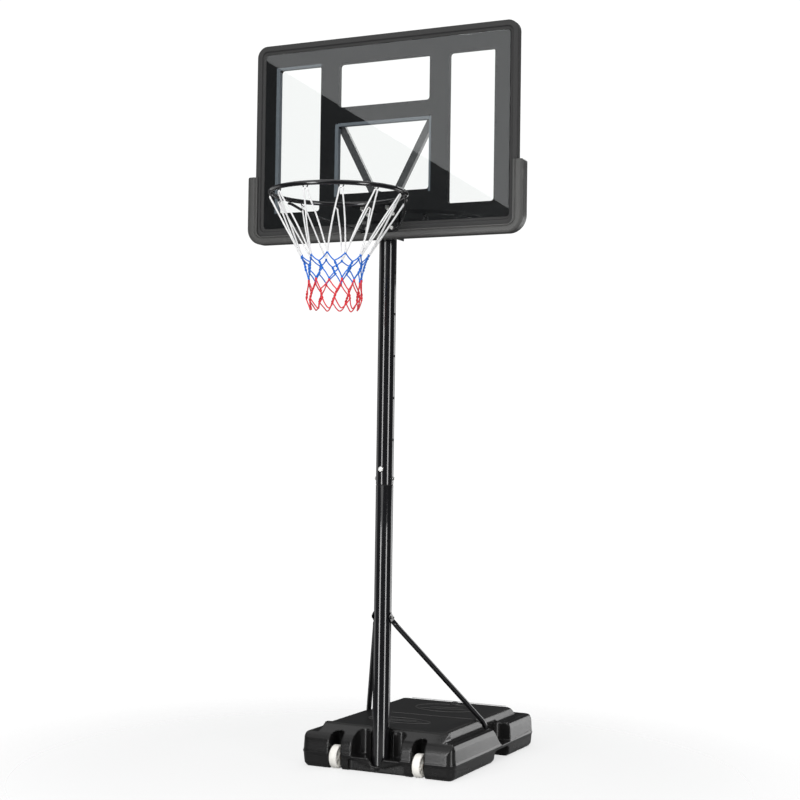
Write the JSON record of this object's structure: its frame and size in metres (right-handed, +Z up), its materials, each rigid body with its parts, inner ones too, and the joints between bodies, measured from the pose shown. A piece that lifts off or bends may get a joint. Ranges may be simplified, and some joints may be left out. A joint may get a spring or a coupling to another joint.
{
  "type": "portable basketball hoop",
  "caption": "Free-standing basketball hoop: wheeled ballast tank, bolted two-piece pole with side struts, clear windowed backboard on a height carriage, steel rim and tapering net.",
  "frame": {"origin": "on the floor under the centre of the pole, on the ballast tank's flat underside", "axes": "+Z up along the pole; -Y towards the rim and the player; +X to the right as the player faces the board from behind the rim looking along +Y"},
  "size_m": [1.109, 1.3915, 2.674],
  "materials": {
    "tank_plastic": "blow-moulded satin black, light grain",
    "pole_enamel": "gloss black enamel on steel tube",
    "arm_enamel": "satin dark grey enamel",
    "rim_enamel": "gloss black enamel on steel",
    "wheel_plastic": "cream moulded plastic",
    "clear_sheet": "clear polished sheet with dark printed bands",
    "backing_plastic": "black moulded plastic",
    "surround_plastic": "satin black moulded plastic",
    "bumper_plastic": "dark grey grained plastic",
    "net_cord": "braided cord in white, blue and red",
    "black_fastener": "black coated steel",
    "zinc_fastener": "zinc plated steel"
  },
  "bodies": {
    "stand": {"base_tank": "tank_plastic", "lower_pole": "pole_enamel", "pole_top_cap": "tank_plastic", "seam_bolt_cross": "zinc_fastener", "seam_bolt_front": "zinc_fastener", "seam_nut_cross": "zinc_fastener", "seam_nut_rear": "zinc_fastener", "strut_foot_bolt_left": "black_fastener", "strut_foot_bolt_right": "black_fastener", "strut_left": "pole_enamel", "strut_right": "pole_enamel", "strut_top_bolt": "black_fastener", "strut_top_nut": "zinc_fastener", "upper_pole": "pole_enamel", "wheel_axle_left": "zinc_fastener", "wheel_axle_right": "zinc_fastener"},
    "carriage": {"arm_screw_left": "zinc_fastener", "arm_screw_right": "zinc_fastener", "backboard_sheet": "clear_sheet", "backing_panel": "backing_plastic", "bumper_pad": "bumper_plastic", "clamp_bolt_lower": "zinc_fastener", "clamp_bolt_upper": "zinc_fastener", "clamp_nut_lower": "zinc_fastener", "clamp_nut_upper": "zinc_fastener", "edge_surround": "surround_plastic", "height_bolt_left": "zinc_fastener", "height_bolt_right": "zinc_fastener", "net": "net_cord", "pole_bracket": "pole_enamel", "rim_bolt_high_left": "zinc_fastener", "rim_bolt_high_right": "zinc_fastener", "rim_bolt_low_left": "zinc_fastener", "rim_bolt_low_right": "zinc_fastener", "rim_brace_left": "rim_enamel", "rim_brace_right": "rim_enamel", "rim_bracket": "rim_enamel", "rim_nut_high_left": "zinc_fastener", "rim_nut_high_right": "zinc_fastener", "rim_nut_low_left": "zinc_fastener", "rim_nut_low_right": "zinc_fastener", "rim_ring": "rim_enamel", "rim_tongue": "rim_enamel", "support_arm_left": "arm_enamel", "support_arm_right": "arm_enamel", "tongue_bolt_left": "zinc_fastener", "tongue_bolt_right": "zinc_fastener", "tongue_nut_left": "zinc_fastener", "tongue_nut_right": "zinc_fastener"},
    "wheel_left": {"wheel_left": "wheel_plastic"},
    "wheel_right": {"wheel_right": "wheel_plastic"},
    "filler_cap": {"filler_cap": "tank_plastic"}
  },
  "joints": [
    {"name": "board_height", "type": "slide", "parent": "stand", "child": "carriage", "axis": [0, 0, 1], "range_m": [-0.762, 0]},
    {"name": "wheel_left_spin", "type": "hinge", "parent": "stand", "child": "wheel_left", "pos_m": [-0.1665, -0.02, 0.0428], "axis": [1, 0, 0], "continuous": true},
    {"name": "wheel_right_spin", "type": "hinge", "parent": "stand", "child": "wheel_right", "pos_m": [0.1665, -0.02, 0.0428], "axis": [1, 0, 0], "continuous": true},
    {"name": "filler_cap_lift", "type": "slide", "parent": "stand", "child": "filler_cap", "axis": [0, 0, 1], "range_m": [0, 0.06]}
  ]
}
